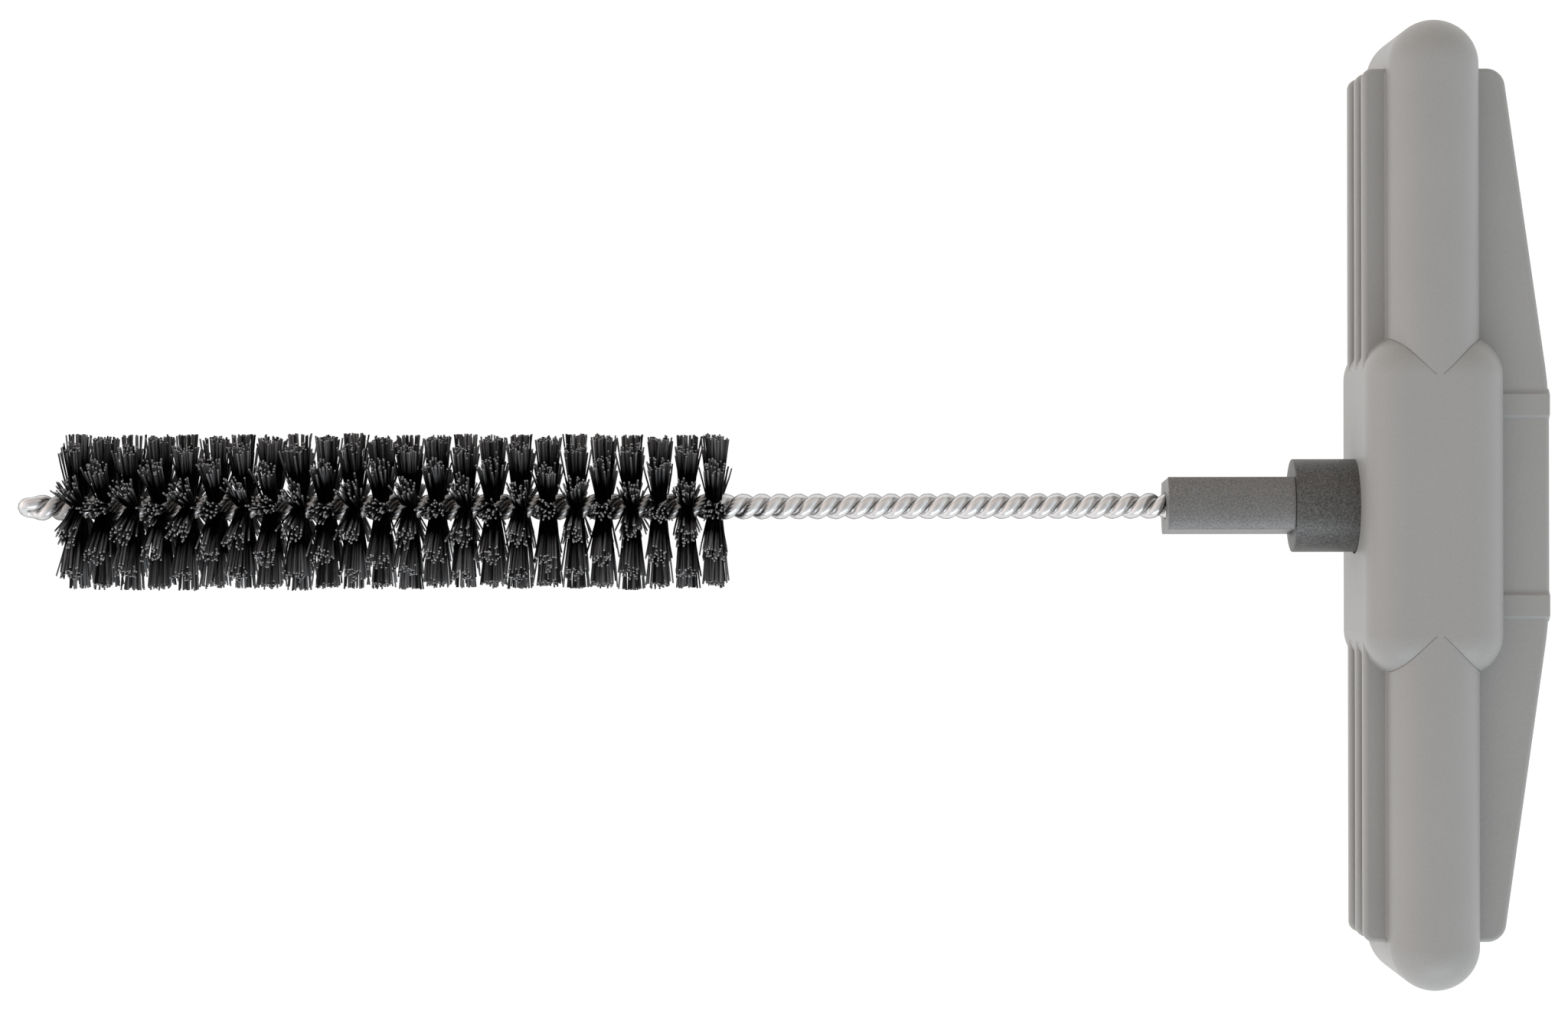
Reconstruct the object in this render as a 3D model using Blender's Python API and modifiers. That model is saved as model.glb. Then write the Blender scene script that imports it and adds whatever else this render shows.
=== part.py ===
"""Borehole cleaning brush with a T handle.

The stem lies along X, with the bristles towards -X and the T handle at +X. The handle's bar
lies along Y, and the part rests on the flat back of the handle's hub, its stem level above it.
The origin is under the middle of the overall length, on the surface that the part lies on.
"""
import math

import bmesh
import bpy
import numpy as np
from mathutils import Matrix, Vector

MM = 0.001

# Fits
fit_gap = 0.3 * MM            # free space between two pieces that seat in each other
cut_overrun = 1.0 * MM        # how far a cutter stands past the face it cuts
weld_distance = 0.001 * MM    # points of one surface closer than this are the same point

# Twisted wire: one wire folded at the tip, its two strands laid round each other
strand_diameter = 1.3 * MM
strand_offset = 0.98 * MM     # from the stem's axis to the middle of a strand
twist_pitch = 4.7 * MM        # length of one whole turn
twist_ease = 1.6 * MM         # run behind the tip over which the twist builds up
twist_points = 8              # points in a turn of a strand
fold_points = 6               # steps round the fold at the tip
gap_samples = 5               # samples on each straight run when the gap is measured
wire_seat = 9.0 * MM          # length of wire held in the shank
seat_turn = math.radians(244) # angle of the first strand where it enters the shank

# Bristles: rings of tufts threaded along the wire
ring_count = 24
rows_per_turn = 4 / 3         # rings in one turn of the twist
tuft_count = 10               # tufts round a ring, with two strands each
brush_diameter = 20.0 * MM
ring_width = 1.1 * MM
ring_wall = 0.35 * MM
ring_bore_sides = 8
tuft_spread = 1.7 * MM        # distance along the stem between the two tips of a tuft
tuft_half_angle = math.radians(5)
tip_share = 0.5               # width of a strand's tip as a share of its root's

# Shank: turned, with two spanner flats and a stud that screws into the handle's socket
shank_length = 16.1 * MM
shank_diameter = 10.8 * MM
across_flats = 6.6 * MM
flat_turn = math.radians(-4)  # how far the flats have come to rest from level
shank_chamfer = 0.25 * MM
stud_diameter = 6.0 * MM
stud_length = 10.0 * MM

# Socket: the round sleeve that is moulded into the handle's hub
socket_diameter = 11.85 * MM
socket_reach = 8.0 * MM       # length that stands out of the hub
socket_seat = 12.4 * MM       # length held inside the hub
socket_chamfer = 0.2 * MM
stud_end_room = 1.0 * MM      # space past the end of the stud
turning_steps = 32

# Lengths along the stem
tip_length = 7.7 * MM         # middle of the first ring to the end of the wire
bare_length = 57.4 * MM       # middle of the last ring to the shank

# Handle: hub, grip bar, three fins and two cross ribs in one moulding
handle_depth = 28.4 * MM
crown_rise = 5.1 * MM         # height of the rounded front and back above the flat sides
crown_steps = 5
corner_steps = 5
hub_width = 17.25 * MM
hub_length = 42.6 * MM
hub_corner = 5.2 * MM
hub_crown_run = 4.9 * MM
bar_length = 121.5 * MM
bar_width = 11.3 * MM
bar_set_down = 0.05 * MM      # bar's crown below the hub's
bar_crown_run = 5.1 * MM
fin_length = 109.9 * MM
fin_thickness = 2.0 * MM
fin_pitch = 6.2 * MM
fin_set_back = 0.1 * MM       # fins behind the hub's stem face
fin_edge = 0.6 * MM           # rounding of the fins' edges
fin_inner_corner = 1.3 * MM
fin_outer_corner = 2.0 * MM
fin_reach = 14.9 * MM         # hub's middle to the fins' outer edge beside the hub
fin_end_reach = 9.0 * MM      # the same at the fins' ends
fin_level_half = 14.2 * MM    # half the length that has the full reach
fin_first_slope = 0.125       # slope of the outer edge where it starts to fall
fin_slope_steps = 4
rib_spacing = 25.25 * MM
rib_width = 4.2 * MM
rib_edge = 1.1 * MM           # slant of the ribs' long edges
rib_proud = 0.45 * MM         # how far the ribs stand out of the outer fins' faces
rib_end_proud = 0.05 * MM     # and out of the fins' outer edges

# Worked out from the above
wire_radius = strand_offset + strand_diameter / 2
ring_pitch = twist_pitch / rows_per_turn
rib_reach = fin_reach + rib_end_proud
overall_length = (tip_length + (ring_count - 1) * ring_pitch + bare_length + shank_length
                  + socket_reach + hub_width / 2 + rib_reach)
hub_x = overall_length / 2 - rib_reach
hub_face_x = hub_x - hub_width / 2
socket_x = hub_face_x - socket_reach
shank_x = socket_x - shank_length
last_ring_x = shank_x - bare_length
tip_x = last_ring_x - (ring_count - 1) * ring_pitch - tip_length
stem_z = handle_depth / 2


def empty_scene():
    for obj in list(bpy.data.objects):
        bpy.data.objects.remove(obj, do_unlink=True)


def collection(name):
    group = bpy.data.collections.new(name)
    bpy.context.scene.collection.children.link(group)
    return group


def material(name, colour, roughness, metallic):
    mat = bpy.data.materials.new(name)
    mat.use_nodes = True
    shader = mat.node_tree.nodes["Principled BSDF"]
    shader.inputs["Base Color"].default_value = (*colour, 1)
    shader.inputs["Roughness"].default_value = roughness
    shader.inputs["Metallic"].default_value = metallic
    return mat


def add_object(name, data, group, finish=None):
    obj = bpy.data.objects.new(name, data)
    group.objects.link(obj)
    if finish and not data.materials:
        data.materials.append(finish)
    return obj


def make_tool(obj):
    obj.hide_render = True
    obj.display_type = "WIRE"
    return obj


def boolean(obj, tool, operation):
    step = obj.modifiers.new(tool.name, "BOOLEAN")
    step.operation = operation
    step.object = tool
    step.solver = "EXACT"


def arc(cx, cy, radius, start, end, steps):
    angles = np.linspace(start, end, steps + 1)
    return [(cx + radius * math.cos(a), cy + radius * math.sin(a)) for a in angles]


def flat_solid(name, points, half_thickness, group):
    """A closed outline given its thickness, as a mesh with one face at each end."""
    curve = bpy.data.curves.new(name, "CURVE")
    curve.dimensions = "2D"
    curve.fill_mode = "BOTH"
    curve.extrude = half_thickness
    spline = curve.splines.new("POLY")
    spline.points.add(len(points) - 1)
    for point, (x, y) in zip(spline.points, points):
        point.co = (x, y, 0, 1)
    spline.use_cyclic_u = True
    guide = bpy.data.objects.new(name + "_outline", curve)
    bpy.context.scene.collection.objects.link(guide)
    bpy.context.view_layer.update()
    graph = bpy.context.evaluated_depsgraph_get()
    mesh = bpy.data.meshes.new_from_object(guide.evaluated_get(graph))
    mesh.name = name
    obj = add_object(name, mesh, group)
    obj.matrix_world = guide.matrix_world
    bpy.data.objects.remove(guide, do_unlink=True)
    bm = bmesh.new()
    bm.from_mesh(mesh)
    bmesh.ops.remove_doubles(bm, verts=bm.verts, dist=weld_distance)
    for side in (1, -1):
        bm.normal_update()
        ends = [face for face in bm.faces if face.normal.z * side > 0.9]
        bmesh.ops.dissolve_faces(bm, faces=ends)
    bm.to_mesh(mesh)
    bm.free()
    return obj


def crown_ends(obj, run, rise):
    """Rounds both ends of a flat solid with a quarter of an ellipse, inset by inset."""
    angles = np.linspace(0, math.pi / 2, crown_steps + 1)
    bm = bmesh.new()
    bm.from_mesh(obj.data)
    for side in (1, -1):
        bm.normal_update()
        end = [face for face in bm.faces if face.normal.z * side > 0.9]
        for low, high in zip(angles[:-1], angles[1:]):
            bmesh.ops.inset_region(bm, faces=end, use_even_offset=True,
                                   thickness=run * (math.cos(low) - math.cos(high)),
                                   depth=rise * (math.sin(high) - math.sin(low)))
    bm.to_mesh(obj.data)
    bm.free()


def bevel_outline(obj, width):
    """Takes the sharp edges round both ends of a flat solid."""
    step = obj.modifiers.new("edges", "BEVEL")
    step.width = width
    step.segments = 1
    step.limit_method = "ANGLE"
    step.angle_limit = math.radians(60)


def rounded_rectangle(width, length, radius):
    x = width / 2 - radius
    y = length / 2 - radius
    points = []
    for turn, (cx, cy) in enumerate(((x, y), (-x, y), (-x, -y), (x, -y))):
        start = turn * math.pi / 2
        points += arc(cx, cy, radius, start, start + math.pi / 2, corner_steps)
    return [point for n, point in enumerate(points)
            if math.dist(point, points[n - 1]) > weld_distance]


def fin_outline():
    """Half of a fin above the stem, and the same half below it."""
    inner_x = -(hub_width / 2 - fin_set_back)
    half = fin_length / 2
    fall_length = half - fin_level_half
    fall = fin_reach - fin_end_reach
    bend = (fall - fin_first_slope * fall_length) / fall_length ** 2
    end_angle = math.atan(fin_first_slope + 2 * bend * fall_length)
    corner_y = half - fin_outer_corner
    edge_end = corner_y + fin_outer_corner * math.sin(end_angle)
    upper = []
    for y in np.linspace(fin_level_half, edge_end, fin_slope_steps + 1):
        run = y - fin_level_half
        upper.append((fin_reach - fin_first_slope * run - bend * run ** 2, y))
    corner_x = upper[-1][0] - fin_outer_corner * math.cos(end_angle)
    upper += arc(corner_x, corner_y, fin_outer_corner, end_angle, math.pi / 2, corner_steps)[1:]
    upper += arc(inner_x + fin_inner_corner, half - fin_inner_corner, fin_inner_corner,
                 math.pi / 2, math.pi, corner_steps)
    return upper + [(x, -y) for x, y in reversed(upper)]


def handle(group, tools, finish):
    hub = flat_solid("t_handle", rounded_rectangle(hub_width, hub_length, hub_corner),
                     handle_depth / 2 - crown_rise, group)
    crown_ends(hub, hub_crown_run, crown_rise)
    bar = flat_solid("grip_bar", rounded_rectangle(bar_width, bar_length, bar_width / 2),
                     handle_depth / 2 - bar_set_down - crown_rise, tools)
    crown_ends(bar, bar_crown_run, crown_rise)
    shapes = [bar]
    for place, side in (("back", -1), ("middle", 0), ("front", 1)):
        fin = flat_solid("fin_" + place, fin_outline(), fin_thickness / 2, tools)
        bevel_outline(fin, fin_edge)
        fin.location.z = side * fin_pitch
        shapes.append(fin)
    rib_half = fin_pitch + fin_thickness / 2 + rib_proud
    face_half = rib_width / 2 - rib_edge
    side_half = rib_half - rib_edge
    section = [(rib_half, face_half), (side_half, rib_width / 2),
               (-side_half, rib_width / 2), (-rib_half, face_half),
               (-rib_half, -face_half), (-side_half, -rib_width / 2),
               (side_half, -rib_width / 2), (rib_half, -face_half)]
    for place, side in (("low", -1), ("high", 1)):
        rib = flat_solid("rib_" + place, section, rib_reach / 2, tools)
        rib.rotation_euler.y = math.pi / 2
        rib.location = (rib_reach / 2, side * rib_spacing / 2, 0)
        shapes.append(rib)
    socket_hole = turned("socket_hole", [
        (0, socket_seat + fit_gap), (socket_diameter / 2 + fit_gap, socket_seat + fit_gap),
        (socket_diameter / 2 + fit_gap, -cut_overrun), (0, -cut_overrun)], tools)
    socket_hole.location.x = -hub_width / 2
    frame = add_object("handle_frame", None, group)
    frame.location = (hub_x, 0, stem_z)
    hub.parent = frame
    for shape in shapes:
        shape.parent = frame
        boolean(hub, make_tool(shape), "UNION")
    socket_hole.parent = frame
    boolean(hub, make_tool(socket_hole), "DIFFERENCE")
    hub.data.materials.append(finish)


def turned(name, profile, group, finish=None):
    """A profile of (radius, place along the stem) turned round the stem's axis."""
    mesh = bpy.data.meshes.new(name)
    verts = [(radius, 0, place) for radius, place in profile]
    edges = [(n, n + 1) for n in range(len(profile) - 1)]
    mesh.from_pydata(verts, edges, [])
    obj = add_object(name, mesh, group, finish)
    obj.rotation_euler.y = math.pi / 2
    screw = obj.modifiers.new("turn", "SCREW")
    screw.steps = turning_steps
    screw.render_steps = turning_steps
    screw.use_merge_vertices = True
    screw.merge_threshold = weld_distance
    screw.use_smooth_shade = True
    return obj


def handle_socket(group, finish):
    outer = socket_diameter / 2
    bore = stud_diameter / 2 + fit_gap
    length = socket_reach + socket_seat
    sleeve = turned("handle_socket", [
        (0, length), (outer, length), (outer, socket_chamfer), (outer - socket_chamfer, 0),
        (bore, 0), (bore, stud_length + stud_end_room), (0, stud_length + stud_end_room)],
        group, finish)
    sleeve.location = (socket_x, 0, stem_z)


def brush_shank(group, tools, finish):
    outer = shank_diameter / 2
    stud = stud_diameter / 2
    shoulder = shank_length - fit_gap
    bore = wire_radius + fit_gap
    bore_end = wire_seat + strand_diameter / 2 + fit_gap
    shank = turned("brush_shank", [
        (0, shoulder + stud_length), (stud, shoulder + stud_length), (stud, shoulder),
        (outer, shoulder), (outer, shank_chamfer), (outer - shank_chamfer, 0),
        (bore, 0), (bore, bore_end), (0, bore_end)], group, finish)
    shank.location = (shank_x, 0, stem_z)
    for place, side in (("low", -1), ("high", 1)):
        mesh = bpy.data.meshes.new("flat_" + place)
        bm = bmesh.new()
        bmesh.ops.create_cube(bm, size=1, matrix=Matrix.Diagonal(
            (shank_length + 2 * cut_overrun, outer, shank_diameter + 2 * cut_overrun, 1)))
        bmesh.ops.translate(bm, verts=bm.verts, vec=(0, side * (across_flats + outer) / 2, 0))
        bm.to_mesh(mesh)
        bm.free()
        cutter = make_tool(add_object("flat_" + place, mesh, tools))
        cutter.location = (shank_x + shank_length / 2, 0, stem_z)
        cutter.rotation_euler.x = flat_turn
        boolean(shank, cutter, "DIFFERENCE")


def strand_place(x, turn):
    """A point of a strand at x, turned about the stem's axis from straight up."""
    return (x, strand_offset * math.sin(turn), stem_z + strand_offset * math.cos(turn))


def wire_route():
    """Points of the whole wire: up one strand, round the fold at the tip and down the other."""
    wire_end = shank_x + wire_seat
    fold_x = tip_x + strand_diameter / 2 + strand_offset
    rate = 2 * math.pi / twist_pitch

    def turn_at(x):
        run = x - fold_x
        eased = run - twist_ease / 2 if run > twist_ease else run ** 2 / (2 * twist_ease)
        return rate * (eased - (shank_x - fold_x - twist_ease / 2)) + seat_turn

    count = math.ceil((wire_end - fold_x) / twist_pitch * twist_points)
    places = np.linspace(wire_end, fold_x, count + 1)
    first = [strand_place(x, turn_at(x)) for x in places]
    second = [strand_place(x, turn_at(x) + math.pi) for x in reversed(places)]
    fold = []
    for angle in np.linspace(0, math.pi, fold_points + 1)[1:-1]:
        out = Vector((-math.sin(angle), 0, 0))
        across = Vector((0, math.sin(turn_at(fold_x)), math.cos(turn_at(fold_x))))
        middle = Vector((fold_x, 0, stem_z))
        fold.append(tuple(middle + strand_offset * (out + across * math.cos(angle))))
    return first, fold, second


def print_least_gap(first, second):
    """The least free space between the two strands, on points along both."""
    samples = []
    for strand in (first, second):
        points = np.array(strand)
        shares = np.linspace(0, 1, gap_samples, endpoint=False)[:, None, None]
        samples.append((points[:-1] + shares * (points[1:] - points[:-1])).reshape(-1, 3))
    between = samples[0][:, None, :] - samples[1][None, :, :]
    gap = np.sqrt((between ** 2).sum(axis=2)).min() - strand_diameter
    print(f"least gap between the wire's strands: {gap / MM:.3f} mm")


def twisted_wire(group, finish):
    first, fold, second = wire_route()
    print_least_gap(first, second)
    points = first + fold + second
    curve = bpy.data.curves.new("twisted_wire", "CURVE")
    curve.dimensions = "3D"
    curve.bevel_depth = strand_diameter / 2
    curve.bevel_resolution = 1
    curve.use_fill_caps = True
    spline = curve.splines.new("POLY")
    spline.points.add(len(points) - 1)
    for point, place in zip(spline.points, points):
        point.co = (*place, 1)
    add_object("twisted_wire", curve, group, finish)


def bristle_ring_mesh(finish):
    """A thin ring round the wire with two strands drawn out of it at each tuft."""
    step = math.pi / tuft_count
    tuft_turn = 0.75 * step     # middle of the two faces that a tuft is drawn from
    bore = (wire_radius + fit_gap) / math.cos(math.pi / ring_bore_sides)
    outer = (bore + ring_wall) / math.cos(step / 2)
    along_x = Matrix.Rotation(math.pi / 2, 4, "Y")
    bm = bmesh.new()
    for sides, radius in ((2 * tuft_count, outer), (ring_bore_sides, bore)):
        bmesh.ops.create_cone(bm, cap_ends=False, segments=sides, radius1=radius,
                              radius2=radius, depth=ring_width, matrix=along_x)
    rim = [v for v in bm.verts if v.co.x > 0 and v.co.yz.length > bore + ring_wall / 2]
    bmesh.ops.rotate(bm, verts=rim, cent=(0, 0, 0), matrix=Matrix.Rotation(-step / 2, 3, "X"))
    bmesh.ops.triangulate(bm, faces=bm.faces, quad_method="SHORT_EDGE")
    for side in (1, -1):
        edges = [e for e in bm.edges if e.is_boundary and e.verts[0].co.x * side > 0]
        bmesh.ops.triangle_fill(bm, edges=edges, use_beauty=True)
    bmesh.ops.recalc_face_normals(bm, faces=bm.faces)
    seats = []
    for face in bm.faces:
        centre = face.calc_center_median()
        if abs(face.normal.x) > 0.5 or centre.yz.length < bore:
            continue
        turn = math.atan2(centre.y, centre.z) % (2 * step)
        if abs(turn - tuft_turn) < step / 2:
            seats.append(face)
    for face in bmesh.ops.extrude_discrete_faces(bm, faces=seats)["faces"]:
        root = face.calc_center_median()
        side = 1 if root.x > 0 else -1
        tuft = math.floor(math.atan2(root.y, root.z) / (2 * step)) * 2 * step + tuft_turn
        turn = tuft + side * tuft_half_angle
        tip = Vector((side * tuft_spread / 2, brush_diameter / 2 * math.sin(turn),
                      brush_diameter / 2 * math.cos(turn)))
        for vert in face.verts:
            vert.co = tip + (vert.co - root) * tip_share
    bmesh.ops.rotate(bm, verts=bm.verts, cent=(0, 0, 0),
                     matrix=Matrix.Rotation(tuft_turn, 3, "X"))
    mesh = bpy.data.meshes.new("bristle_ring")
    bm.to_mesh(mesh)
    bm.free()
    mesh.materials.append(finish)
    return mesh


def bristle_rings(group, finish):
    mesh = bristle_ring_mesh(finish)
    for number in range(1, ring_count + 1):
        steps_back = ring_count - number
        ring = add_object(f"bristle_ring_{number:02d}", mesh, group)
        ring.location = (last_ring_x - steps_back * ring_pitch, 0, stem_z)
        ring.rotation_euler.x = steps_back * 2 * math.pi / rows_per_turn


def main():
    empty_scene()
    parts = collection("borehole_brush")
    tools = collection("cutters")
    grey_plastic = material("grey_plastic", (0.31, 0.31, 0.30), 0.55, 0)
    dark_steel = material("dark_steel", (0.11, 0.11, 0.105), 0.5, 0.6)
    dull_steel = material("dull_steel", (0.12, 0.12, 0.115), 0.5, 0.6)
    bright_wire = material("bright_wire", (0.68, 0.68, 0.67), 0.22, 1)
    black_nylon = material("black_nylon", (0.012, 0.012, 0.012), 0.4, 0)
    handle(parts, tools, grey_plastic)
    handle_socket(parts, dark_steel)
    brush_shank(parts, tools, dull_steel)
    twisted_wire(parts, bright_wire)
    bristle_rings(parts, black_nylon)


main()
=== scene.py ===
"""Looks of a borehole cleaning brush with a T handle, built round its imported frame.

The stem lies along X with the bristles towards -X and the handle at +X, level at half the
handle's depth above the floor. All lengths are in metres.
"""
import math

import bmesh
import bpy
import numpy as np
from mathutils import Matrix, Vector


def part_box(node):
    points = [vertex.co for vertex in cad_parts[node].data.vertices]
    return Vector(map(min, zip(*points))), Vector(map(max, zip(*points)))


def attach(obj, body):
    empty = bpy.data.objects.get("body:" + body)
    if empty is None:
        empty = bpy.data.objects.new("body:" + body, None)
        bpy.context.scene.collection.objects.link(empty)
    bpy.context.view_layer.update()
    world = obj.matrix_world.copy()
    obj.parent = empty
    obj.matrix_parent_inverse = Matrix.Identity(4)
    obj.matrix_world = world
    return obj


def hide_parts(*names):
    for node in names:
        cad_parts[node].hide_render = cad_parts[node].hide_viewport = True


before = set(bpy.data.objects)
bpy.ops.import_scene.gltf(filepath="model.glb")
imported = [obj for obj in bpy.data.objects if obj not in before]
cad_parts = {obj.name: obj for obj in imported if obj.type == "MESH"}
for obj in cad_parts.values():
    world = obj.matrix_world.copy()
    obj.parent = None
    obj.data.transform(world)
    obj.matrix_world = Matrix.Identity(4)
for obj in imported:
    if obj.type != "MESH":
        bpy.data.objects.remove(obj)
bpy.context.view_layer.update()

MM = 0.001

# Places taken from the frame
handle_low, handle_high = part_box("t_handle")
socket_low, socket_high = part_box("handle_socket")
shank_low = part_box("brush_shank")[0]
wire_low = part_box("twisted_wire")[0]
first_ring_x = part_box("bristle_ring_01")[0].x
last_ring_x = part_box("bristle_ring_24")[1].x
stem_z = (handle_low.z + handle_high.z) / 2
handle_half_depth = (handle_high.z - handle_low.z) / 2

# Mesh work: how squarely a face points along an axis, how nearly an edge runs along one,
# and how near two places are that count as the same
X, Z = 0, 2
facing = 0.9
running = 0.99
close = 0.01 * MM
sharp_angle = 0.5
broken_edge_steps = 2
smooth_angle = math.radians(35)

# Handle
hub_width = 17.25 * MM
hub_length = 42.6 * MM
hub_corner = 5.2 * MM
hub_crown_run = 5.1 * MM
crown_rise = 5.1 * MM
crown_steps = 24
corner_steps = 20
bar_length = handle_high.y - handle_low.y
bar_width = 11.3 * MM
bar_corner = bar_width / 2 - 0.001 * MM
bar_crown_run = 5.2 * MM
bar_set_down = 0.002 * MM
crease_angle = math.radians(2.2)
groove_radius = 0.08 * MM
groove_roundness = 2
fin_thickness = 2.0 * MM
fin_pitch = 6.2 * MM
fin_length = 109.9 * MM
fin_set_back = 0.1 * MM
fin_edge = 0.62 * MM
fin_inner_corner = 1.3 * MM
fin_outer_corner = 2.0 * MM
fin_reach = 14.95 * MM
fin_end_reach = 9.15 * MM
fin_level_half = 14.2 * MM
fin_bend = 3 * MM
fin_bend_steps = 4
fin_corner_steps = 8
edge_steps = 4
rib_spacing = 25.25 * MM
rib_width = 4.1 * MM
rib_slant = 0.75 * MM
rib_proud = 0.35 * MM
rib_end_edge = 0.3 * MM
root_fillet = 0.2 * MM
fillet_steps = 3
hub_x = handle_low.x + hub_width / 2
rib_reach = handle_high.x - hub_x
socket_clearance = 0.11 * MM
socket_off_centre = 0.09 * MM
hole_overrun = 1 * MM
hole_end_gap = 0.3 * MM

# Socket and shank
turned_sides = 160
socket_radius = (socket_high.y - socket_low.y) / 2
socket_edge = 0.12 * MM
socket_bore_depth = 11 * MM
stud_radius = 3.0 * MM
stud_length = 10 * MM
stud_clearance = 0.05 * MM
shoulder_gap = 0.02 * MM
shank_length = 16.1 * MM
shank_radius = 5.4 * MM
shank_edge = 0.1 * MM
shank_sides = 96
shank_sides_turn = math.radians(1.6)
across_flats = 6.6 * MM
flat_turn = math.radians(-4)
shank_bore = 1.75 * MM
shank_bore_depth = 9.5 * MM

# Twisted wire
strand_radius = 0.87 * MM
strand_offset = 0.79 * MM
strand_roundness = 5
twist_pitch = 4.7 * MM
twist_ease = 1.6 * MM
twist_points = 24
fold_points = 16
seat_turn = math.radians(244)
seat_depth = 9.0 * MM

# Stretch of wire with painted shade and painted reflection of the dark bristles, between the rings
# and a little way past the tip's ring
end_ring_inset = 1 * MM
painted_shade_past_tip = 1.2 * MM
painted_shade_middle = (first_ring_x + last_ring_x) / 2 - painted_shade_past_tip
painted_shade_half = abs(last_ring_x - first_ring_x) / 2 - end_ring_inset + painted_shade_past_tip
painted_shade_fade = 2 * MM

# Bristles
ring_count = 24
ring_turn = math.radians(270)
tuft_count = 10
tuft_kinds = 12
tuft_turn_scatter = 0.03
most_tuft_shortening = 0.035
bristles_in_tuft = 32
bristle_radius = 0.12 * MM
bristle_sides = 6
bristle_cuts = 2
bristle_bow = 0.07 * MM
bristle_smooth_angle = math.radians(65)
golden_angle = math.pi * (3 - math.sqrt(5))
spin_scatter = 0.25
root_reach = 1.1 * MM
root_half_width = 0.9 * MM
root_half_breadth = 0.42 * MM
tip_half_width = 1.5 * MM
tip_half_breadth = 1.25 * MM
tip_reach = 10.1 * MM
tip_raggedness = 0.26 * MM
tip_scatter = 0.2 * MM
stray_freedom = 3
most_stray = 0.9 * MM
darkest_shade = 0.1
shade_power = 1.5
brush_sag = 0.6 * MM
bristle_seed = 18

# Colours, each pair from its darker to its lighter
plastic_colours = (0.275, 0.276, 0.268), (0.327, 0.328, 0.319)
socket_colours = (0.04, 0.04, 0.038), (0.17, 0.169, 0.163)
shank_colours = (0.115, 0.115, 0.112), (0.25, 0.251, 0.246)
wire_colours = (0.58, 0.575, 0.57), (0.73, 0.73, 0.73)
# Painted shade and painted reflection on the wire where the bristles shade it and show in it
painted_shade_wire_colour = (0.33, 0.325, 0.32)
wire_rim_tint = (0.2, 0.185, 0.18)
# The bristles' lighter colour is painted light on the outer parts of their sides
bristle_colours = (0.003, 0.003, 0.003), (0.24, 0.24, 0.243)
cut_end_colours = (0.12, 0.12, 0.122), (0.33, 0.33, 0.335)

# Patterns: about how many of their patches, grains or scuffs there are to a metre
plastic_patches = 90
plastic_grain = 2600
steel_patches = 220
steel_grain = 4500
wire_patches = 500
wire_scuffs = 2500
bristle_scuffs = 1400
cut_end_grain = 3000

# Roughness where the grain or scuffs are lowest and where they are highest, and their depth
plastic_roughness = 0.36, 0.54
steel_roughness = 0.42, 0.52
wire_roughness = 0.2, 0.34
bristle_roughness = 0.45, 0.6
cut_end_roughness = 0.4, 0.6
plastic_grain_depth = 0.03 * MM
steel_grain_depth = 0.015 * MM
wire_scuff_depth = 0.012 * MM

# Coated steel's share of metal and its speckle, then the bristles' gloss and the painted light
# that pales their sides at shares of their reach
steel_metal_share = 0.5
grain_start = 0.3
grain_contrast = 2.2
patch_contrast = 0.3
bristle_gloss = 0.03
painted_tip_light_stops = ((0.58, 0.0), (0.78, 0.75), (0.97, 0.9))

# Studio: the light of the sky by its height, and its tint on each side
sky_strength = 1.33
sky_levels = ((0.0, 0.94), (0.68, 0.94), (0.88, 0.7), (1.0, 0.55))
sky_side_loss = 0.4
brush_end_tint = (1.04, 0.985, 0.975)
handle_end_tint = (0.79, 0.85, 0.89)
near_side_tint = (1.02, 1.05, 1.08)
far_side_tint = (0.91, 0.82, 0.75)
floor_size = 6
floor_gap = 0.02 * MM
floor_colour = (0.35, 0.35, 0.35)
floor_roughness = 0.9
floor_glow = 0.85
white = (1, 1, 1)

# Photograph's camera
photo_width = 2048
photo_scale = 10.25 / MM
camera_distance = 500 * MM
camera_to_hub = 81.275 * MM
camera_above_stem = 0.12 * MM
camera_roll = math.radians(-0.1)


class Number:
    """A node's output. A sum written with it adds the Math nodes that it needs."""

    def __init__(self, finish, socket):
        self.finish = finish
        self.socket = socket

    def maths(self, operation, *values):
        """Adds a Math node on the values, or on this number alone."""
        inputs = dict(enumerate(values or (self,)))
        return self.finish.add("ShaderNodeMath", {"operation": operation}, inputs)

    def __add__(self, other):
        return self.maths("ADD", self, other)

    def __sub__(self, other):
        return self.maths("SUBTRACT", self, other)

    def __rsub__(self, other):
        return self.maths("SUBTRACT", other, self)

    def __mul__(self, other):
        return self.maths("MULTIPLY", self, other)

    def __truediv__(self, other):
        return self.maths("DIVIDE", self, other)

    __radd__ = __add__
    __rmul__ = __mul__


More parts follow.
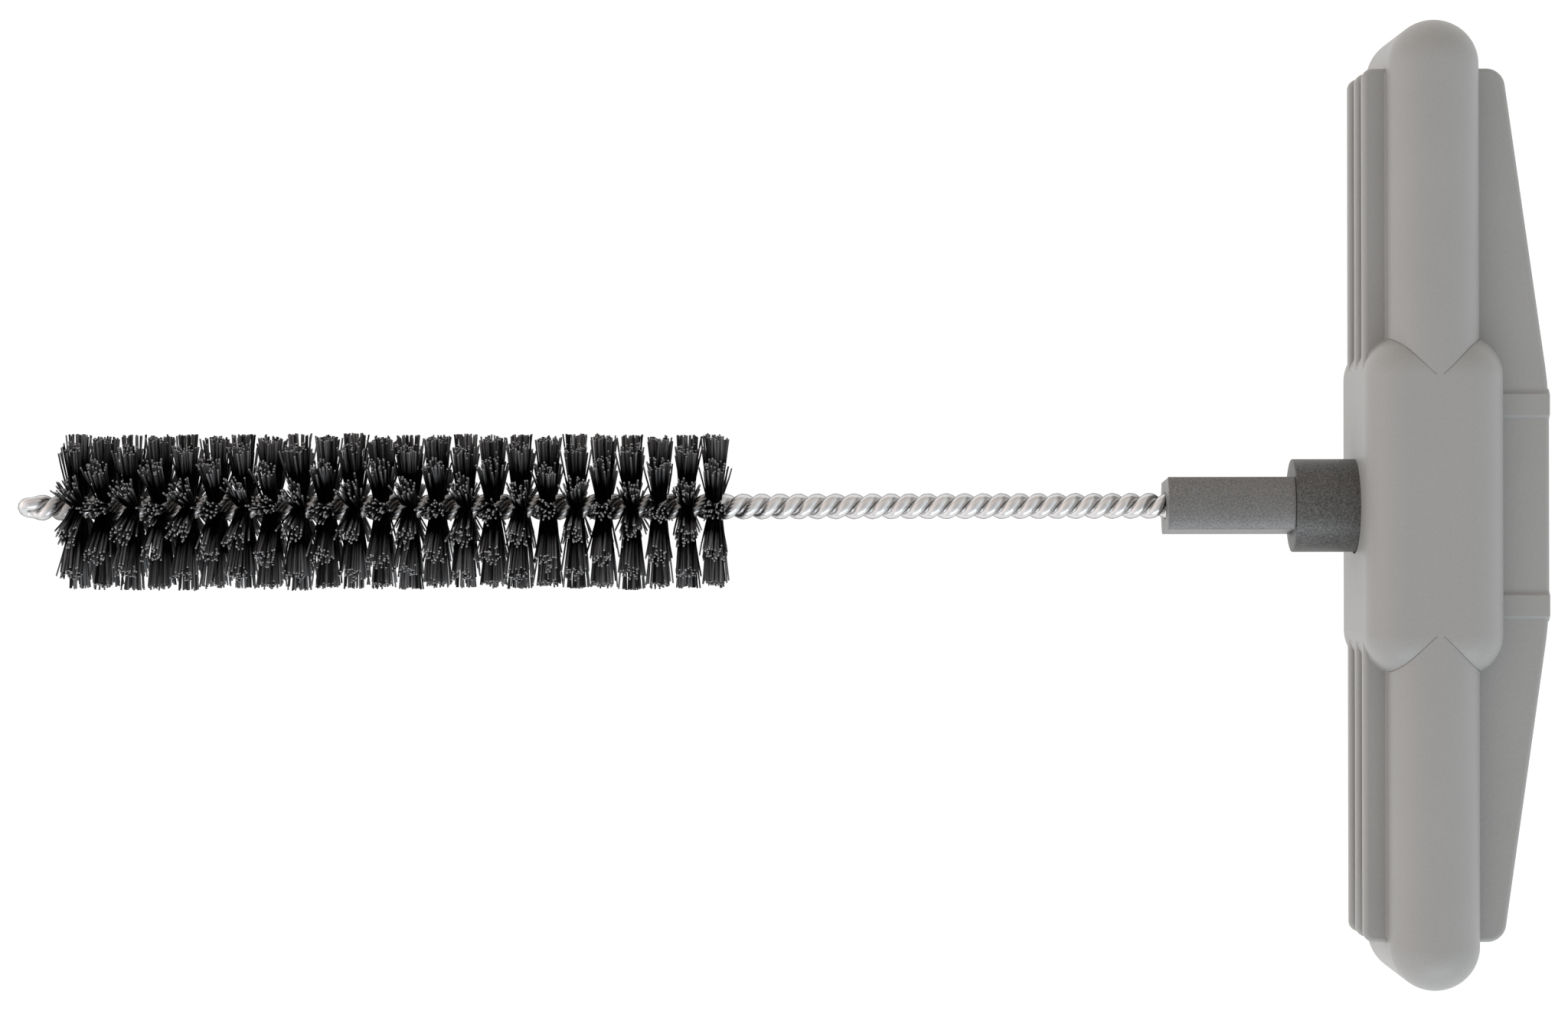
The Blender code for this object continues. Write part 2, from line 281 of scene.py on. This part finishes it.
class Finish:
    """The nodes of a material, or of the studio's sky."""

    def __init__(self, owner):
        owner.use_nodes = True
        self.owner = owner
        self.tree = owner.node_tree

    def add(self, kind, settings, inputs, output=0):
        """Adds a node: its settings first, then the values or links of its sockets."""
        node = self.tree.nodes.new(kind)
        for name, value in settings.items():
            if name == "stops":
                self.set_stops(node.color_ramp, value)
            else:
                setattr(node, name, value)
        for key, value in inputs.items():
            self.fill(node.inputs[key], value)
        return Number(self, node.outputs[output])

    def set_stops(self, ramp, stops):
        """Gives a ramp its stops, each a place and a grey level."""
        while len(ramp.elements) < len(stops):
            ramp.elements.new(1)
        for element, (place, level) in zip(ramp.elements, stops):
            element.position = place
            element.color = (level, level, level, 1)

    def fill(self, socket, value):
        """Links a socket to a Number, or sets it to a plain value or colour."""
        if isinstance(value, Number):
            self.tree.links.new(value.socket, socket)
        elif isinstance(value, tuple) and len(socket.default_value) == 4:
            socket.default_value = (*value, 1)
        else:
            socket.default_value = value

    def shade(self, **inputs):
        """Sets the surface shader's own sockets."""
        shader = self.tree.nodes["Principled BSDF"]
        sockets = {socket.name.lower().replace(" ", "_"): socket for socket in shader.inputs}
        for name, value in inputs.items():
            self.fill(sockets[name], value)

    def place(self):
        """The place on the object."""
        return self.add("ShaderNodeTexCoord", {}, {}, "Object")

    def part(self, vector, axis):
        """A vector's share along one axis."""
        return self.add("ShaderNodeSeparateXYZ", {}, {0: vector}, axis)

    def noise(self, scale, detail, roughness=0.5):
        """A soft random pattern on the object."""
        return self.add("ShaderNodeTexNoise", {}, {
            "Vector": self.place(), "Scale": scale, "Detail": detail, "Roughness": roughness})

    def ramp(self, stops, factor):
        """A grey level that follows the stops."""
        return self.add("ShaderNodeValToRGB", {"stops": stops}, {"Fac": factor})

    def blend(self, factor, low, high):
        """Mixes two colours."""
        return self.add("ShaderNodeMix", {"data_type": "RGBA"}, {0: factor, 6: low, 7: high}, 2)

    def tinted(self, colour, tint):
        """Multiplies two colours part by part."""
        return self.add("ShaderNodeVectorMath", {"operation": "MULTIPLY"}, {0: colour, 1: tint})

    def bump(self, height, depth):
        """A surface raised by a pattern."""
        return self.add("ShaderNodeBump", {}, {"Height": height, "Distance": depth})


def new_finish(name):
    return Finish(bpy.data.materials.new(name))


def spread(mask, low, high):
    """Goes from low, where the mask is 0, to high, where it is 1."""
    return low + (high - low) * mask


def grey_plastic():
    """Moulded plastic with a fine grain and faint patches."""
    finish = new_finish("moulded_grey_plastic")
    patches = finish.noise(plastic_patches, detail=3)
    grain = finish.noise(plastic_grain, detail=2)
    tone = patches * 0.5 + grain * 0.5
    finish.shade(base_color=finish.blend(tone, *plastic_colours),
                 roughness=spread(grain, *plastic_roughness),
                 normal=finish.bump(grain, plastic_grain_depth))
    return finish.owner


def coated_steel(name, colours):
    """Dull steel with a speckled grain."""
    finish = new_finish(name)
    patches = finish.noise(steel_patches, detail=3)
    grain = finish.noise(steel_grain, detail=2, roughness=0.7)
    tone = (grain - grain_start) * grain_contrast + (patches - 0.5) * patch_contrast
    finish.shade(base_color=finish.blend(tone, *colours), metallic=steel_metal_share,
                 roughness=spread(grain, *steel_roughness),
                 normal=finish.bump(grain, steel_grain_depth))
    return finish.owner


def drawn_wire():
    """Bright scuffed wire, with painted shade and painted reflection of the dark bristles along
    the brush and a little way past its tip.
    """
    finish = new_finish("bright_drawn_wire")
    patches = finish.noise(wire_patches, detail=2)
    scuffs = finish.noise(wire_scuffs, detail=3)
    # Painted shade: the wire takes the darker colour along the brush and a little past its tip,
    # fading out over a short way
    from_middle = (finish.part(finish.place(), "X") - painted_shade_middle).maths("ABSOLUTE")
    clear_of_painted_shade = finish.add("ShaderNodeMath", {"operation": "MULTIPLY", "use_clamp": True}, {
        0: from_middle - painted_shade_half, 1: 1 / painted_shade_fade})
    bright = finish.blend(patches, *wire_colours)
    finish.shade(base_color=finish.blend(clear_of_painted_shade, painted_shade_wire_colour, bright),
                 metallic=1.0, specular_tint=wire_rim_tint,
                 roughness=spread(scuffs, *wire_roughness),
                 normal=finish.bump(scuffs, wire_scuff_depth))
    return finish.owner


def reach_from_stem(finish):
    """Distance from the stem's axis: the place flattened along X and centred on the stem."""
    centred = finish.add("ShaderNodeVectorMath", {"operation": "MULTIPLY_ADD"}, {
        0: finish.place(), 1: Vector((0, 1, 1)), 2: Vector((0, 0, -stem_z))})
    return finish.add("ShaderNodeVectorMath", {"operation": "LENGTH"}, {0: centred}, "Value")


def black_nylon():
    """Bristle sides: black at the root and paler outwards by painted light, each bristle with its
    own shade.
    """
    finish = new_finish("black_nylon")
    # Painted light: the sides pale towards the tips, where the light catches them
    painted_tip_light = finish.ramp(painted_tip_light_stops, reach_from_stem(finish) / tip_reach)
    shade = finish.add("ShaderNodeAttribute", {"attribute_name": "bristle_shade"}, {}, "Fac")
    scuffs = finish.noise(bristle_scuffs, detail=2)
    finish.shade(base_color=finish.blend(painted_tip_light * shade, *bristle_colours),
                 roughness=spread(scuffs, *bristle_roughness),
                 specular_ior_level=bristle_gloss)
    return finish.owner


def cut_nylon():
    """Bristle ends, paler than the sides."""
    finish = new_finish("cut_nylon_ends")
    grain = finish.noise(cut_end_grain, detail=2)
    finish.shade(base_color=finish.blend(grain, *cut_end_colours),
                 roughness=spread(grain, *cut_end_roughness))
    return finish.owner


def pick(*pieces):
    """Selects these pieces alone and makes the first of them active."""
    bpy.ops.object.select_all(action="DESELECT")
    for piece in pieces:
        piece.select_set(True)
    bpy.context.view_layer.objects.active = pieces[0]


def work_on(piece):
    """Opens a piece for editing with nothing on it selected."""
    pick(piece)
    bpy.ops.object.mode_set(mode="EDIT")
    bpy.ops.mesh.select_mode(type="FACE")
    bpy.ops.mesh.select_all(action="DESELECT")


def done():
    bpy.ops.object.mode_set(mode="OBJECT")


def choose(kind, wanted):
    """Selects the faces or edges of the open piece for which wanted() holds."""
    bpy.ops.mesh.select_mode(type={"faces": "FACE", "edges": "EDGE"}[kind])
    bpy.ops.mesh.select_all(action="DESELECT")
    mesh = bpy.context.object.data
    bm = bmesh.from_edit_mesh(mesh)
    bm.normal_update()
    for item in getattr(bm, kind):
        if wanted(item):
            item.select_set(True)
    bm.select_flush_mode()
    bmesh.update_edit_mesh(mesh)


def choose_all():
    bpy.ops.mesh.select_all(action="SELECT")


def pointing(axis, side):
    """Picks the faces that point up (1) or down (-1) an axis."""
    return lambda face: face.normal[axis] * side > facing


def runs_along(edge, axis):
    direction = edge.verts[1].co - edge.verts[0].co
    return abs(direction[axis]) > running * direction.length


def middle(edge):
    return sum((v.co for v in edge.verts), Vector()) / len(edge.verts)


def bevel(width, steps):
    """Bevels the chosen edges."""
    bpy.ops.mesh.bevel(offset=width, segments=steps, affect="EDGES")


def break_sharp_edges(width):
    choose("edges", lambda edge: edge.calc_face_angle(0) > sharp_angle)
    bevel(width, broken_edge_steps)


def narrow_and_extrude(inset, length):
    """Narrows the chosen round end and draws it along the stem, out or into the piece."""
    bpy.ops.mesh.inset(thickness=inset)
    bpy.ops.mesh.extrude_region_move(TRANSFORM_OT_translate={"value": (length, 0, 0)})


def cut_off(place, normal):
    """Cuts the open piece through a place and takes off the side that the normal points to."""
    choose_all()
    bpy.ops.mesh.bisect(plane_co=place, plane_no=normal, use_fill=True, clear_outer=True)


def mend(reach=close):
    """Merges the open piece's doubled points and turns its faces outwards."""
    choose_all()
    bpy.ops.mesh.remove_doubles(threshold=reach)
    bpy.ops.mesh.normals_make_consistent(inside=False)


def settle(piece, name):
    """Names a new primitive and moves its place, turn and size into its mesh."""
    piece.name = name
    bpy.ops.object.transform_apply(location=True, rotation=True, scale=True)
    return piece


def block(name, low, high):
    """A box between two corners."""
    low, high = Vector(low), Vector(high)
    bpy.ops.object.select_all(action="DESELECT")
    bpy.ops.mesh.primitive_cube_add(size=1, location=(low + high) / 2, scale=high - low)
    return settle(bpy.context.object, name)


def rod(name, start_x, end_x, radius, sides=turned_sides):
    """A round bar along the stem."""
    bpy.ops.object.select_all(action="DESELECT")
    bpy.ops.mesh.primitive_cylinder_add(
        vertices=sides, radius=radius, depth=end_x - start_x,
        location=((start_x + end_x) / 2, 0, stem_z), rotation=(0, math.pi / 2, 0))
    return settle(bpy.context.object, name)


def apply_modifier(piece, kind, **settings):
    pick(piece)
    modifier = piece.modifiers.new(kind, kind)
    for name, value in settings.items():
        setattr(modifier, name, value)
    bpy.ops.object.modifier_apply(modifier=modifier.name)


def combine(piece, other, operation):
    """Joins another piece on, or cuts it out, and takes the other away."""
    apply_modifier(piece, "BOOLEAN", operation=operation, object=other)
    bpy.data.objects.remove(other)


def smooth(piece, angle=smooth_angle):
    """Shades a piece smooth up to an angle, with its flat faces kept flat."""
    pick(piece)
    bpy.ops.object.shade_smooth_by_angle(angle=angle)
    apply_modifier(piece, "WEIGHTED_NORMAL", keep_sharp=True)


def from_curve(curve, name, radius, roundness):
    """Makes a curve object a round closed tube."""
    curve.data.bevel_depth = radius
    curve.data.bevel_resolution = roundness
    curve.data.use_fill_caps = True
    pick(curve)
    bpy.ops.object.convert(target="MESH")
    piece = bpy.context.object
    piece.name = name
    work_on(piece)
    mend(close / 10)
    done()
    return piece


def stand_for(piece, node):
    """Puts a piece in the place of a node of the frame."""
    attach(piece, "root")
    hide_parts(node)


def dress(piece, material):
    piece.data.materials.clear()
    piece.data.materials.append(material)


def crowned_block(name, width, length, corner, set_down, run):
    """A round-cornered block whose front and back rise in a crown from all sides."""
    side_half = handle_half_depth - set_down - crown_rise
    piece = block(name, (hub_x - width / 2, -length / 2, stem_z - side_half),
                  (hub_x + width / 2, length / 2, stem_z + side_half))
    work_on(piece)
    choose("edges", lambda edge: runs_along(edge, Z))
    bevel(corner, corner_steps)
    mend()
    angles = np.linspace(0, math.pi / 2, crown_steps + 1)
    for side in (1, -1):
        choose("faces", pointing(Z, side))
        for low, high in zip(angles[:-1], angles[1:]):
            bpy.ops.mesh.inset(thickness=run * (math.cos(low) - math.cos(high)),
                               depth=crown_rise * (math.sin(high) - math.sin(low)))
    done()
    return piece


def at_fin_corner(edge, side):
    """Whether an upright edge is at a fin's ends, on its outer (1) or inner (-1) side."""
    place = middle(edge)
    steepest = max(edge.link_faces, key=lambda face: abs(face.normal.x))
    return (runs_along(edge, Z) and abs(place.y) > fin_length / 2 - close
            and (place.x - hub_x) * side > 0 and steepest.normal.x * side > facing)


def fin(name, height):
    """One of the handle's plates, cut along its two slanting outer edges."""
    inner = hub_x - hub_width / 2 + fin_set_back
    half = fin_length / 2
    outer = hub_x + fin_reach
    slope = (fin_reach - fin_end_reach) / (half - fin_level_half)
    piece = block(name, (inner, -half, stem_z + height - fin_thickness / 2),
                  (outer, half, stem_z + height + fin_thickness / 2))
    work_on(piece)
    for side in (1, -1):
        cut_off((outer, side * fin_level_half, stem_z), (1, side * slope, 0))
    mend()
    choose("edges", lambda edge: runs_along(edge, Z)
           and abs(abs(middle(edge).y) - fin_level_half) < close)
    bevel(fin_bend, fin_bend_steps)
    for side, corner in ((-1, fin_inner_corner), (1, fin_outer_corner)):
        choose("edges", lambda edge: at_fin_corner(edge, side))
        bevel(corner, fin_corner_steps)
    choose("edges", lambda edge: sum(abs(face.normal.z) > facing for face in edge.link_faces) == 1)
    bevel(fin_edge, edge_steps)
    done()
    return piece


def rib(name, y):
    """A cross rib over the three fins, with slanted sides and a softened outer end."""
    half = fin_pitch + fin_thickness / 2 + rib_proud
    piece = block(name, (hub_x, y - rib_width / 2, stem_z - half),
                  (hub_x + rib_reach, y + rib_width / 2, stem_z + half))
    work_on(piece)
    choose("edges", lambda edge: runs_along(edge, X))
    bevel(rib_slant, 1)
    choose("edges", lambda edge: sum(face.normal.x > facing for face in edge.link_faces) == 1)
    bevel(rib_end_edge, edge_steps)
    done()
    return piece


def in_crease(edge):
    """Whether an edge is where the bar's crown runs into the hub's."""
    place = middle(edge)
    return (not edge.is_convex and edge.calc_face_angle(0) > crease_angle
            and abs(place.x - hub_x) < bar_width / 2 + close
            and abs(abs(place.y) - hub_length / 2 + hub_crown_run / 2) < hub_crown_run
            and abs(place.z - stem_z) > handle_half_depth - crown_rise - bar_set_down)


def crease_rods(piece):
    """Thin rods along the V-shaped creases."""
    work_on(piece)
    choose("edges", in_crease)
    bpy.ops.mesh.duplicate()
    bpy.ops.mesh.separate(type="SELECTED")
    done()
    edges = next(item for item in bpy.context.selected_objects if item != piece)
    pick(edges)
    bpy.ops.object.convert(target="CURVE")
    return from_curve(bpy.context.object, "crease_rods", groove_radius, groove_roundness)


def in_root(edge):
    """Whether an edge is an inner corner between a level face and an upright one."""
    steepness = sorted(round(abs(face.normal.z), 2) for face in edge.link_faces)
    return not edge.is_convex and steepness == [0, 1]


def t_handle(material):
    """The handle in one: crowned hub and bar, fins, ribs, and the socket's hole."""
    piece = crowned_block("handle", hub_width, hub_length, hub_corner, 0, hub_crown_run)
    combine(piece, crowned_block("grip_bar", bar_width, bar_length, bar_corner, bar_set_down,
                                 bar_crown_run), "UNION")
    rods = crease_rods(piece)
    for place, side in (("back", -1), ("middle", 0), ("front", 1)):
        combine(piece, fin("fin_" + place, side * fin_pitch), "UNION")
    for place, side in (("low", -1), ("high", 1)):
        combine(piece, rib("rib_" + place, side * rib_spacing / 2), "UNION")
    work_on(piece)
    choose("edges", in_root)
    bevel(root_fillet, fillet_steps)
    done()
    hole = rod("socket_hole", handle_low.x - hole_overrun, socket_high.x + hole_end_gap,
               socket_radius + socket_clearance)
    work_on(hole)
    choose_all()
    bpy.ops.transform.translate(value=(0, -socket_off_centre, 0))
    done()
    combine(piece, hole, "DIFFERENCE")
    combine(piece, rods, "DIFFERENCE")
    smooth(piece)
    dress(piece, material)
    stand_for(piece, "t_handle")


def socket_sleeve(material):
    """The round sleeve in the hub, bored for the shank's stud."""
    piece = rod("socket_sleeve", socket_low.x, socket_high.x, socket_radius)
    work_on(piece)
    choose("faces", pointing(X, -1))
    narrow_and_extrude(socket_radius - (stud_radius + stud_clearance), socket_bore_depth)
    break_sharp_edges(socket_edge)
    done()
    smooth(piece)
    dress(piece, material)
    stand_for(piece, "handle_socket")


def flat_sided_shank(material):
    """The turned shank: a stud at one end, the wire's hole at the other, and two flats."""
    shoulder = socket_low.x - shoulder_gap
    start = shoulder - shank_length
    piece = rod("flat_sided_shank", start, shoulder, shank_radius, shank_sides)
    work_on(piece)
    choose_all()
    bpy.ops.transform.rotate(value=shank_sides_turn, orient_axis="X",
                             center_override=(0, 0, stem_z))
    choose("faces", pointing(X, 1))
    narrow_and_extrude(shank_radius - stud_radius, stud_length)
    choose("faces", pointing(X, -1))
    narrow_and_extrude(shank_radius - shank_bore, shank_bore_depth)
    for side in (1, -1):
        normal = Vector((0, side * math.cos(flat_turn), side * math.sin(flat_turn)))
        cut_off(Vector((start, 0, stem_z)) + normal * across_flats / 2, normal)
    mend()
    break_sharp_edges(shank_edge)
    done()
    smooth(piece)
    dress(piece, material)
    stand_for(piece, "brush_shank")


def strand_turn(x, fold_x):
    """How far the strands have turned at x. The twist starts gently at the fold."""
    run = x - fold_x
    eased = run - twist_ease / 2 if run > twist_ease else run ** 2 / (2 * twist_ease)
    rate = 2 * math.pi / twist_pitch
    return rate * (eased - (shank_low.x - fold_x - twist_ease / 2)) + seat_turn


def strand_place(x, turn):
    return (x, strand_offset * math.sin(turn), stem_z + strand_offset * math.cos(turn))


def wire_route():
    """Points from the shank to the fold at the tip, round it, and back as the other strand."""
    seat_x = shank_low.x + seat_depth
    fold_x = wire_low.x + strand_radius + strand_offset
    count = math.ceil((seat_x - fold_x) / twist_pitch * twist_points)
    places = np.linspace(seat_x, fold_x, count + 1)
    points = [strand_place(x, strand_turn(x, fold_x)) for x in places]
    fold_turn = strand_turn(fold_x, fold_x)
    across = Vector((0, math.sin(fold_turn), math.cos(fold_turn)))
    for angle in np.linspace(0, math.pi, fold_points + 1)[1:-1]:
        out = Vector((-math.sin(angle), 0, 0))
        points.append(tuple(Vector((fold_x, 0, stem_z))
                            + strand_offset * (out + across * math.cos(angle))))
    points += [strand_place(x, strand_turn(x, fold_x) + math.pi) for x in reversed(places)]
    return points


def stem_wire(material):
    """One wire folded at the tip, its two strands laid round each other."""
    points = wire_route()
    curve = bpy.data.curves.new("stem_wire", "CURVE")
    curve.dimensions = "3D"
    spline = curve.splines.new("POLY")
    spline.points.add(len(points) - 1)
    for point, place in zip(spline.points, points):
        point.co = (*place, 1)
    path = bpy.data.objects.new("stem_wire", curve)
    bpy.context.scene.collection.objects.link(path)
    piece = from_curve(path, "stem_wire", strand_radius, strand_roundness)
    smooth(piece)
    dress(piece, material)
    stand_for(piece, "twisted_wire")


def bristle(materials):
    """One bristle from the origin up, a metre long until it is placed, with a paler cut end."""
    bpy.ops.object.select_all(action="DESELECT")
    bpy.ops.mesh.primitive_cylinder_add(vertices=bristle_sides, radius=bristle_radius, depth=1,
                                        location=(0, 0, 0.5))
    piece = settle(bpy.context.object, "bristle")
    for material in materials:
        piece.data.materials.append(material)
    work_on(piece)
    choose("faces", pointing(Z, 1))
    piece.active_material_index = 1
    bpy.ops.object.material_slot_assign()
    choose("edges", lambda edge: runs_along(edge, Z))
    bpy.ops.mesh.subdivide_edgering(number_cuts=bristle_cuts, smoothness=0)
    choose("edges", lambda edge: 0 < middle(edge).z < 1 and not runs_along(edge, Z))
    bpy.ops.transform.translate(value=(bristle_bow, 0, 0))
    done()
    smooth(piece, bristle_smooth_angle)
    piece.data.attributes.new("bristle_shade", "FLOAT", "POINT")
    return piece


def copied(piece, name, place):
    """A copy with its own mesh, put in its place."""
    copy = piece.copy()
    copy.data = piece.data.copy()
    copy.name = name
    copy.data.name = name
    copy.data.transform(place)
    bpy.context.scene.collection.objects.link(copy)
    return copy


def joined(pieces, name):
    pick(*pieces)
    bpy.ops.object.join()
    pieces[0].name = name
    pieces[0].data.name = name
    return pieces[0]


def between(root, tip, roll):
    """The place of a bristle from its root to its tip."""
    reach = tip - root
    turn = reach.to_track_quat("Z", "X") @ Matrix.Rotation(roll, 4, "Z").to_quaternion()
    length = Matrix.Diagonal((1, 1, reach.length, 1))
    return Matrix.Translation(root) @ turn.to_matrix().to_4x4() @ length


def tuft(one_bristle, number, random):
    """A bundle along +Z, pinched at its root and spread at its tips, on the stem's axis."""
    pieces = []
    for n in range(bristles_in_tuft):
        share = math.sqrt((n + 0.5) / bristles_in_tuft)
        spin = n * golden_angle + random.normal(0, spin_scatter)
        along = share * math.cos(spin)
        across = share * math.sin(spin)
        shade = random.uniform(darkest_shade, 1) ** shade_power
        stray = np.clip(random.standard_t(stray_freedom, 2) * tip_scatter,
                        -most_stray, most_stray)
        root = Vector((along * root_half_width, across * root_half_breadth, root_reach))
        tip = Vector((along * tip_half_width + stray[0], across * tip_half_breadth + stray[1],
                      tip_reach - abs(random.normal(0, tip_raggedness))))
        place = between(root, tip, random.uniform(0, 2 * math.pi))
        piece = copied(one_bristle, "bristle", place)
        for point in piece.data.attributes["bristle_shade"].data:
            point.value = shade
        pieces.append(piece)
    return joined(pieces, f"tuft_{number:02d}")


def sagging(turn):
    """Lets what points this way round the stem sink towards -Y, most at its tip."""
    sag = Matrix.Identity(4)
    outward = Vector((0, -math.sin(turn), math.cos(turn)))
    for row in range(3):
        sag[1][row] -= outward[row] * brush_sag / tip_reach
    return sag


def bristle_rings(materials):
    """Rings of tufts round the stem, each copied from one of a few tufts."""
    random = np.random.default_rng(bristle_seed)
    one_bristle = bristle(materials)
    tufts = [tuft(one_bristle, number, random) for number in range(1, tuft_kinds + 1)]
    for number in range(1, ring_count + 1):
        node = f"bristle_ring_{number:02d}"
        low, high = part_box(node)
        ring_place = Matrix.Translation(((low.x + high.x) / 2, 0, stem_z))
        pieces = []
        for spoke in range(tuft_count):
            turn = ((ring_count - number) * ring_turn + spoke * 2 * math.pi / tuft_count
                    + random.normal(0, tuft_turn_scatter))
            half_turn = Matrix.Rotation(math.pi * random.integers(2), 4, "Z")
            length = Matrix.Scale(1 - random.uniform(0, most_tuft_shortening), 4, (0, 0, 1))
            around = Matrix.Rotation(turn, 4, "X")
            place = ring_place @ sagging(turn) @ around @ half_turn @ length
            pieces.append(copied(tufts[random.integers(tuft_kinds)], "tuft", place))
        stand_for(joined(pieces, f"tuft_ring_{number:02d}"), node)
    for piece in [one_bristle, *tufts]:
        bpy.data.objects.remove(piece)


def floor():
    bpy.ops.object.select_all(action="DESELECT")
    bpy.ops.mesh.primitive_plane_add(size=floor_size, location=(0, 0, -floor_gap))
    piece = settle(bpy.context.object, "floor")
    finish = new_finish("pale_floor")
    finish.shade(base_color=floor_colour, roughness=floor_roughness, emission_color=white,
                 emission_strength=floor_glow)
    dress(piece, finish.owner)


def soft_light(name, place, size, power, colour):
    """A large panel of light that faces the middle of the tool."""
    light = bpy.data.lights.new(name, "AREA")
    light.shape = "RECTANGLE"
    light.size, light.size_y = size
    light.energy = power
    light.color = colour
    lamp = bpy.data.objects.new(name, light)
    bpy.context.scene.collection.objects.link(lamp)
    lamp.location = place
    aim = Vector((0, 0, stem_z)) - Vector(place)
    lamp.rotation_euler = aim.to_track_quat("-Z", "Y").to_euler()


def studio():
    """A pale sky, dimmer overhead and to the sides, and two soft panels."""
    world = bpy.data.worlds.new("studio")
    bpy.context.scene.world = world
    sky = Finish(world)
    direction = sky.add("ShaderNodeTexCoord", {}, {}, "Generated")
    along, across, height = (sky.part(direction, axis) for axis in "XYZ")
    level = sky.ramp(sky_levels, height) * (1 - across * across * sky_side_loss)
    lengthways = sky.blend(along * 0.5 + 0.5, brush_end_tint, handle_end_tint)
    sideways = sky.blend(across * 0.5 + 0.5, near_side_tint, far_side_tint)
    background = sky.tree.nodes["Background"].inputs
    sky.fill(background["Color"], sky.tinted(sky.tinted(lengthways, sideways), level))
    sky.fill(background["Strength"], sky_strength)
    soft_light("left_panel", place=(-1.2, 0, 0.1), size=(1.2, 0.5), power=1.2,
               colour=(1.0, 0.93, 0.92))
    soft_light("near_panel", place=(0.2, -1.1, 0.58), size=(1.2, 0.3), power=4.8,
               colour=(0.86, 0.93, 1.0))
    bpy.context.scene.view_settings.view_transform = "Standard"


def camera():
    """Looks straight down on the tool, as the photograph does."""
    lens = bpy.data.cameras.new("photo_camera")
    lens.lens = lens.sensor_width * camera_distance * photo_scale / photo_width
    lens.clip_start = 10 * MM
    lens.clip_end = 10
    view = bpy.data.objects.new("photo_camera", lens)
    bpy.context.scene.collection.objects.link(view)
    view.location = (hub_x - camera_to_hub, camera_above_stem, stem_z + camera_distance)
    view.rotation_euler = (0, 0, camera_roll)
    bpy.context.scene.camera = view


def main():
    camera()
    studio()
    floor()
    t_handle(grey_plastic())
    socket_sleeve(coated_steel("dark_socket_steel", socket_colours))
    flat_sided_shank(coated_steel("dull_shank_steel", shank_colours))
    stem_wire(drawn_wire())
    bristle_rings([black_nylon(), cut_nylon()])


main()
